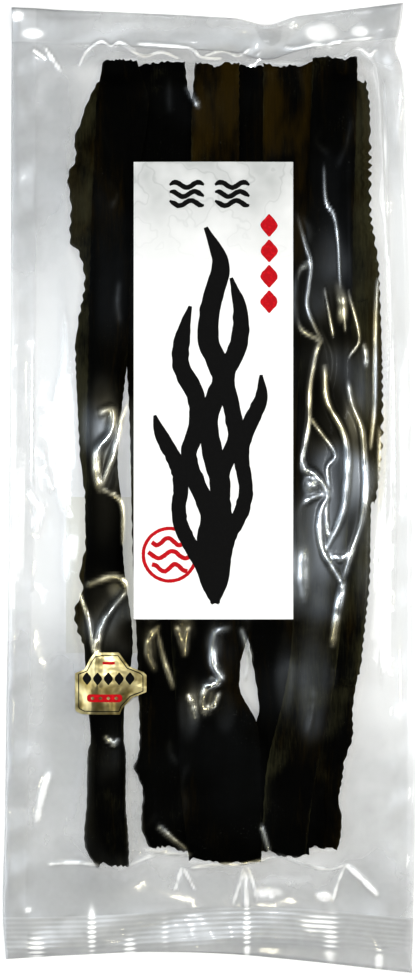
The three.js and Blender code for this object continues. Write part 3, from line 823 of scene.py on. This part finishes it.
under_line = under_edge[-1] + np.cumsum(starts_line)
under_line[under_line == under_edge[-1]] = under_line[-1]
edge_points = points[0][edge_at] - (0, 0, edge_thickness)
line_points = points[0][line_at[starts_line]]
line_points[:, 2] = back_level
points += [edge_points, line_points]
following = np.roll(np.arange(len(edge_at)), -1)
for n, after in enumerate(following):
    faces.append([edge_at[n], under_edge[n], under_edge[after], edge_at[after]])
    inner = list(dict.fromkeys([under_line[n], under_line[after]]))
    faces.append([under_edge[n], *inner, under_edge[after]])
faces.append(list(dict.fromkeys(under_line[::-1].tolist())))
faces = [[int(corner) for corner in face] for face in faces]


def film_shine(tree):
    """Clear film that mirrors the lights. It turns milky grey where its attributes say it is sealed
    or painted with shade, and white where they paint a highlight along a fold or at a glint. Where
    it is taut over the kelp it shines in soft patches."""
    place = add_node(tree, "TexCoord")[3]
    milk, folded, taut, sheen = (
        add_node(tree, "Attribute", attribute_name=name)[2]
        for name in ("milk", "folded", "taut", "sheen")
    )
    waves, fine, broad = noise(place, 90.0, 2.0), noise(place, 420.0, 2.0), noise(place, 26.0, 1.0)
    relief = waves + fine * 0.1
    bump = add_node(tree, "Bump", Strength=0.15, Distance=0.6 * MM, Height=relief)[0]

    def polish(colour, roughness):
        return add_node(
            tree, "BsdfPrincipled", Base_Color=colour, Metallic=1.0, Roughness=roughness,
            Normal=bump,
        )[0]

    # What shows through the film, its milky grey haze with painted shade, and the white painted on
    # it as highlights along folds and at glints.
    grey, white = (0.40, 0.405, 0.41, 1), (0.95, 0.95, 0.95, 1)
    clear = add_node(tree, "BsdfTransparent", (0.975, 0.975, 0.975, 1))[0]
    grey_to_painted_white = mix_colours(tree, folded.rises(0, 0.3), grey, white)
    milk_shade_and_highlight = add_node(tree, "BsdfPrincipled", Base_Color=grey_to_painted_white, Roughness=0.5, Normal=bump)[0]
    # Off the kelp, folds and glints are painted white as highlights.
    painted_fold_white = folded * (1 - taut)
    milk_shade_and_highlight_share = 0.0006 + milk * (0.55 + waves * 0.9) + painted_fold_white * 0.8
    body = add_node(tree, "MixShader", milk_shade_and_highlight_share, clear, milk_shade_and_highlight)[0]

    # What the film mirrors, in a colour painted on its reflections: warm and cool patches over the
    # kelp, and cool elsewhere.
    cool, warm = (0.86, 0.93, 1, 1), (1, 0.93, 0.66, 1)
    cast = mix_colours(tree, broad.rises(0.4, 0.6), warm, cool)
    cast = mix_colours(tree, taut, cool, cast)
    softness = 0.45 + taut * 0.54 + milk * 0.55
    shine = add_node(
        tree, "MixShader", softness, polish((1, 1, 1, 1), 0.06), polish(cast, 0.38)
    )[0]
    shine = add_node(tree, "MixShader", folded, shine, polish(cast, 0.18))[0]
    facing = add_node(tree, "LayerWeight", Blend=0.5, Normal=bump)[1]
    patchy = taut * sheen * (0.15 + broad.rises(0.40, 0.68) * 2)
    mirror = (1 - taut) * 0.065 + patchy + folded * (0.2 + taut * 0.5) + facing**5 * 0.8
    return add_node(tree, "MixShader", mirror, body, shine)[0]


def in_patches(table, hardness=2):
    """The sum of soft oval patches: place across and along, half width and length, strength."""
    total = np.zeros(film_x.shape)
    for patch_x, patch_y, half_across, half_along, strength in table:
        away = ((film_x - patch_x) / half_across) ** 2 + ((film_y - patch_y) / half_along) ** 2
        total += strength * np.exp(-(away**hardness))
    return total


# Where the film catches the light: bright spots painted white as highlights on the seals, which
# the ribs of the crimp cut up, and soft pools over the kelp, where the film mirrors more.
glints = [
    (-95.5, 235.5, 2.2, 1.8, 1), (-88, 226.8, 4, 1.8, 0.9), (56, 227.5, 6, 3.4, 1),
    (75.5, 228, 3.4, 2, 0.9), (28, -202, 6, 2.2, 0.9), (57.5, -204, 3, 1.8, 1),
    (85, -235.5, 1.6, 5, 1), (-58.5, -222, 1.6, 9, 0.9), (-39.5, -229, 2.4, 4.5, 0.8),
    (19, -220, 1.4, 14, 0.9), (54, -217, 6, 4, 0.9), (61, -224, 3, 9, 0.9),
    (-86, -229, 3.5, 5, 0.7), (-90, -210.5, 1.5, 1.2, 0.8), (-22, -222, 2, 8, 0.35),
    (45, -42, 4.5, 11, 0.25), (-51, 27, 3.5, 10, 0.2), (-46, -50, 3, 4, 0.12),
    (2.5, -76, 2.5, 5, 0.3), (-1, -104, 3.5, 5, 0.22), (-7.5, -109, 2.2, 7, 0.2),
    (-12, -70, 3, 4, 0.2), (-29, -76, 2.5, 7, 0.15), (71, 32, 3, 12, 0.1),
]
ribbed = np.where(in_ribs, np.minimum(1, 1.5 * rib_wave**2), 1)
uneven = 0.8 + 0.5 * wander(film_x + 0.7 * film_y, 5, 8)
folded = np.maximum(folded, np.clip(in_patches(glints, 1) * uneven, 0, 1) * ribbed)

# How milky grey the film is: its foot and top seals most, its side seals less, and patches of
# painted shade that darken the clear film off the kelp.
milk = 0.2 * (into["left"] < 1) + 0.36 * (into["top"] < 1) + 0.42 * (film_y < seal_end)
shade_patches = [
    (-88, 185, 26, 80, 0.50), (-90, -130, 30, 60, 0.40), (0, -208, 110, 28, 0.44),
    (-80, -205, 40, 30, 0.34), (90, 200, 14, 50, 0.32), (85, -170, 24, 50, 0.32),
    (5, 217, 78, 10, 0.48), (-70, -120, 12, 55, 0.30), (-36, -150, 8, 36, 0.40),
]
over_kelp = np.clip((sampled(blurred(pile, 1), film_x, film_y) - 2) / 1.5, 0, 1)
milk = milk + in_patches(shade_patches) * (1 - over_kelp)
# Drawn down on the kelp, the film takes the blades' fine grain and mirrors less.
taut = np.clip((blurred_pile - 3) / 3, 0, 1)
sheens = [
    (52, -100, 8, 30, 0.013), (71, 15, 5, 26, 0.034), (-41, -68, 8, 14, 0.030),
    (-53, 32, 9, 20, 0.030), (-52, -8, 9, 20, 0.016), (-55, -64, 9, 20, 0.030),
    (62, 62, 16, 46, 0.010), (60, 20, 12, 22, 0.014), (58, -20, 14, 24, 0.026),
    (78, 0, 6, 60, 0.020), (52, -66, 12, 14, 0.012),
    (-10, -108, 5, 14, 0.014), (-50, -138, 5, 26, 0.006), (38, -92, 5, 18, 0.008),
    (58, 100, 12, 26, 0.006), (-48, 20, 8, 30, 0.008), (-40, -190, 14, 8, 0.012),
    (52, -46, 8, 16, 0.008), (8, -110, 5, 10, 0.008),
]
sheen = 0.0012 + in_patches(sheens) + 0.03 * loose
unmarked = np.zeros(len(edge_at) + len(line_points))
film = mesh_piece(
    "film_pouch", np.concatenate(points), faces, new_material("clear_film", film_shine),
    milk=np.r_[milk.ravel(), unmarked], folded=np.r_[folded.ravel(), unmarked],
    taut=np.r_[taut.ravel(), unmarked], sheen=np.r_[sheen.ravel(), unmarked],
)
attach(film, "root")
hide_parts("bag")

# ------------------------------------------------------------------------------------------
# Front label. White paper stuck on the front film, a little worn towards its top. It is printed
# with black blades of kelp, two groups of waves, a column of red lozenges and a red ring.
# ------------------------------------------------------------------------------------------


def thin_sheet(name, xx, yy, level, thickness, material):
    """A closed thin sheet on a grid of places, whose upper face lies on level(x, y)."""
    upper = np.stack([xx, yy, level(xx, yy)], -1).reshape(-1, 3)
    at = np.arange(xx.size).reshape(xx.shape)
    tops = quads_on(at)
    rim = np.concatenate([at[0, :-1], at[:-1, -1], at[-1, :0:-1], at[:0:-1, 0]])
    following = np.r_[rim[1:], rim[0]]
    sides = np.stack([rim + xx.size, following + xx.size, following, rim], -1)
    faces = np.concatenate([tops, tops[:, ::-1] + xx.size, sides]).tolist()
    piece = mesh_piece(name, np.concatenate([upper, upper - (0, 0, thickness)]), faces, material)
    piece.data.set_sharp_from_angle(angle=math.radians(40))
    return piece


def paper(tree, white, grey, wear):
    """Smooth paper that is greyer towards its top, as far as its wear goes from 0 to 1."""
    place = add_node(tree, "TexCoord")[3]
    fibres, clouds = noise(place, 900.0, 3.0), noise(place, 60.0, 2.0)
    up = add_node(tree, "SeparateXYZ", place)[1]
    veins = abs(clouds - 0.5).rises(0.02, 0)
    worn = up.rises(0.090, 0.165) * (0.1 + clouds * 1.5 + veins * 0.25) * wear
    bump = add_node(tree, "Bump", Strength=0.1, Distance=0.1 * MM, Height=fibres)[0]
    return add_node(
        tree, "BsdfPrincipled", Base_Color=mix_colours(tree, worn, white, grey), Roughness=0.5,
        Specular_IOR_Level=0.3, Normal=bump,
    )[0]


def matt_ink(tree, colour):
    """Matt printed ink with a faint grain."""
    grain = noise(add_node(tree, "TexCoord")[3], 700.0, 3.0)
    light = tuple(1.35 * c for c in colour)
    paint = mix_colours(tree, grain.rises(0.45, 0.7), (*colour, 1), (*light, 1))
    return add_node(
        tree, "BsdfPrincipled", Base_Color=paint, Roughness=0.6, Specular_IOR_Level=0.08
    )[0]


def raised(level, lift):
    """A level that lies so far above another."""
    return lambda x, y: level(x, y) + lift


label_lift, label_thickness = 0.45, 0.15
label_top = raised(label_bed, label_lift)
label_columns, label_rows = np.meshgrid(
    np.linspace(*label_x, 60), np.linspace(*label_y, 170)
)
white, grey = (0.82, 0.82, 0.815, 1), (0.45, 0.46, 0.455, 1)
white_paper = new_material("white_paper", paper, white, grey, 1.0)
label = thin_sheet(
    "front_label_paper", label_columns, label_rows, label_top, label_thickness, white_paper
)
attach(label, "root")
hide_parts("front_label")

black_ink = new_material("black_ink", matt_ink, (0.003, 0.003, 0.003))
red_ink = new_material("red_ink", matt_ink, (0.42, 0.006, 0.012))
ink_depth = 0.02


def print_stroke(name, ink, level, route, widths, seed=0, ragged=0.0, path=along):
    """One stroke of ink along a route, with its width at each of the route's points."""
    steps, x, y = smooth_line(route, path)
    width = along(list(enumerate(widths)), steps)
    heading = np.unwrap(np.arctan2(np.gradient(y), np.gradient(x)))
    s = np.linspace(-0.5, 0.5, 7)[None, :]
    run = steps * steps_a_point
    rough = np.where(s > 0, wander(run, 6, seed)[:, None], wander(run, 6, seed + 50)[:, None])
    offset = s * width[:, None] * (1 + ragged * rough)
    xx = x[:, None] + np.sin(heading)[:, None] * offset
    yy = y[:, None] - np.cos(heading)[:, None] * offset
    stroke = thin_sheet(name, xx, yy, level, ink_depth, ink)
    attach(stroke, "root")


# Long wavy black blades of kelp rise from one foot, under two small groups of waves.
foot_x, foot_y, sway_pitch = 3, -57, 52
blades = [
    # (tip across, tip along, width, sway, turn)
    (-24, 36, 7.5, 3.0, 0.10), (-13, 90, 8.5, 3.8, 0.50), (2, 129, 10, 4.0, 0.20),
    (14.5, 104, 8.5, 3.6, 0.72), (24.5, 56, 7.5, 3.0, 0.35),
]
fullness = np.array((0.45, 0.7, 0.9, 1, 1, 0.94, 1, 1.05, 1, 0.85, 0.2))
black_strokes = {}
for n, (tip_x, tip_y, width, sway, turn) in enumerate(blades):
    knots = np.linspace(0, 1, len(fullness))
    ways = foot_y + (tip_y - foot_y) * knots
    swing = sway * np.sin(2 * np.pi * (ways / sway_pitch + turn)) * np.minimum(1, 3 * knots)
    sides = foot_x + (tip_x - foot_x) * knots**0.75 + swing
    black_strokes[f"kelp_blade_{n}"] = (list(zip(sides, ways)), width * fullness)
wave_length, wave_height = 17, 1.3
for name, start_x in (("left", -19.5), ("right", 3.0)):
    for n, wave_y in enumerate((150, 145.5, 141)):
        route = [
            (start_x + wave_length * t, wave_y + wave_height * math.sin(3 * math.pi * t + n))
            for t in np.linspace(0, 1, 9)
        ]
        black_strokes[f"wave_{name}_{n}"] = (route, (1.0, *[2.4] * 7, 1.0))
black_lift, lift_a_stroke = 0.06, 0.008  # each stroke lies a little above the one before
for number, (name, (route, widths)) in enumerate(black_strokes.items()):
    level = raised(label_top, black_lift + lift_a_stroke * number)
    print_stroke(name, black_ink, level, route, widths, number, ragged=0.07)

# A red ring with three waves in it, under the black strokes.
red_lift = 0.02
on_label = raised(label_top, red_lift)
ring_x, ring_y, ring_radius = -19.5, -33, 13
turns = np.linspace(0, 2 * np.pi, 25)
ring = [(ring_x + ring_radius * np.cos(a), ring_y + ring_radius * np.sin(a)) for a in turns]
print_stroke("red_ring", red_ink, on_label, ring, [1.7] * len(ring), ragged=0.1)
for n, wave_y in enumerate((-6.5, 0, 6.5)):
    half = math.sqrt(ring_radius**2 - wave_y**2) - 2.5
    route = [
        (ring_x + half * u, ring_y + wave_y + 1.8 * math.sin(5 * u + n))
        for u in np.linspace(-1, 1, 9)
    ]
    print_stroke(f"red_wave_{n}", red_ink, on_label, route, [2.2] * 9, ragged=0.1)

# A column of red lozenges down the right.
lozenge_x, lozenge_top, lozenge_pitch, lozenges = 29.8, 130, 12.6, 4
for n in range(lozenges):
    route = [(lozenge_x, lozenge_top - n * lozenge_pitch + half) for half in (5.5, 0, -5.5)]
    widths = (0.8, 8.5, 0.8)
    print_stroke(
        f"red_lozenge_{n}", red_ink, on_label, route, widths, 30 + n, ragged=0.05
    )

# ------------------------------------------------------------------------------------------
# Foil sticker. A small plaque of gold foil on the front film, wrapped over the left strip. A
# dark line runs inside its edge, round a row of dark lozenges and a red band with gold dots.
# ------------------------------------------------------------------------------------------


def film_level(x, y):
    """The front film's height at a place, read from its own points."""
    row = np.interp(y, film_y[:, film_columns // 2], row_number[:, 0])
    for _ in range(4):
        j = row.astype(int)
        share = (x - film_x[j, 0]) / (film_x[j, -1] - film_x[j, 0])
        column = np.interp(share, across[0], np.arange(film_columns + 1))
        column = np.clip(column, 0, film_columns - 0.01)
        i = column.astype(int)
        row = np.clip(j + (y - film_y[j, i]) / (film_y[j + 1, i] - film_y[j, i]), 0, film_rows - 1.01)
    return between(film_z, row, column)


def satin_foil(tree):
    """Thin gold foil, buckled by what it is stuck on."""
    place = add_node(tree, "TexCoord")[3]
    waves, grain = noise(place, 130.0, 2.0), noise(place, 1500.0, 2.0)
    # The foil is painted darker in the hollows of its buckles: painted shade that follows its bump.
    paint = mix_colours(tree, waves.rises(0.3, 0.7), (0.20, 0.16, 0.06, 1), (0.55, 0.49, 0.27, 1))
    bump = add_node(tree, "Bump", Strength=0.7, Distance=0.8 * MM, Height=waves)[0]
    return add_node(
        tree, "BsdfPrincipled", Base_Color=paint, Metallic=0.9,
        Roughness=0.26 + grain * 0.12, Normal=bump,
    )[0]


sticker_low, sticker_high = node_box("foil_sticker")
sticker_x, sticker_y = (sticker_low + sticker_high)[:2] / 2
sticker_half = (sticker_high - sticker_low)[:2] / 2
plaque_top = [
    (-1, 0.32), (-0.73, 0.45), (-0.56, 0.82), (-0.46, 0.97), (-0.28, 1), (0.23, 1), (0.51, 0.55),
    (0.92, 0.36), (1, 0.27),
]
plaque_foot = [
    (-1, -0.86), (-0.97, -0.92), (-0.82, -1), (0.25, -1), (0.33, -0.79), (0.61, -0.45),
    (0.98, -0.29), (1, -0.27),
]


def plaque_place(u, v):
    """A place on the plaque from its shares of the plaque's half sizes."""
    return sticker_x + sticker_half[0] * u, sticker_y + sticker_half[1] * v


gold = new_material("gold_foil", satin_foil)
u = np.linspace(-1, 1, 73)
upper, lower = np.interp(u, *np.array(plaque_top).T), np.interp(u, *np.array(plaque_foot).T)
v = np.linspace(0, 1, 49)[:, None]
foil_x, foil_y = plaque_place(u + 0 * v, lower + (upper - lower) * v)
foil_lift, foil_thickness = 0.5, 0.12
foil = thin_sheet(
    "foil_plaque", foil_x, foil_y, raised(film_level, foil_lift), foil_thickness, gold
)
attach(foil, "root")
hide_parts("foil_sticker")


def straight(pairs, at):
    """Values at these places, straight from each [place, value] pair to the next."""
    return np.interp(at, *np.array(pairs, float).T)


line_in = 0.9
outline = [plaque_place(line_in * u, line_in * v) for u, v in plaque_top + plaque_foot[::-1]]
outline.append(outline[0])
prints = {"foil_line": (black_ink, outline, [0.45] * len(outline))}
for n, share in enumerate((-0.66, -0.36, -0.06, 0.24, 0.54)):
    x, y = plaque_place(share, 0.16)
    prints[f"foil_lozenge_{n}"] = (black_ink, [(x, y + 3), (x, y), (x, y - 3)], (0.6, 4.4, 0.6))
band_v = -0.47
band = [plaque_place(share, band_v) for share in (-0.66, -0.6, -0.1, 0.26, 0.32)]
prints["foil_band"] = (red_ink, band, (2.0, 3.8, 3.8, 3.8, 2.0))
crown_x, crown_y = plaque_place(-0.05, 0.66)
prints["foil_crown"] = (red_ink, [(crown_x - 3, crown_y), (crown_x + 3, crown_y)], (1.3, 1.3))
for n, share in enumerate((-0.5, -0.28, -0.06, 0.16)):
    x, y = plaque_place(share, band_v)
    prints[f"foil_dot_{n}"] = (gold, [(x - 0.9, y), (x, y), (x + 0.9, y)], (0.4, 1.7, 0.4))
ink_lift, dot_lift = 0.05, 0.08  # above the foil
for name, (ink, route, widths) in prints.items():
    level = raised(film_level, foil_lift + (dot_lift if ink is gold else ink_lift))
    print_stroke(name, ink, level, route, widths, path=straight)

# ------------------------------------------------------------------------------------------
# Back label. Plain cream paper stuck on the back film, on the pouch's underside. From the front
# only its left edge shows, through the clear film beside the kelp.
# ------------------------------------------------------------------------------------------
back_low, back_high = node_box("back_label")
back_columns, back_rows = np.meshgrid(
    np.linspace(back_low[0], back_high[0], 24), np.linspace(back_low[1], back_high[1], 32)
)
cream, dark_cream = (0.80, 0.79, 0.72, 1), (0.7, 0.69, 0.62, 1)
cream_paper = new_material("cream_paper", paper, cream, dark_cream, 0.0)
back_top, back_thickness = 0.3, 0.25
back_label = thin_sheet(
    "back_label_paper", back_columns, back_rows, lambda x, y: back_top + 0 * x, back_thickness,
    cream_paper,
)
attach(back_label, "root")
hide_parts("back_label")
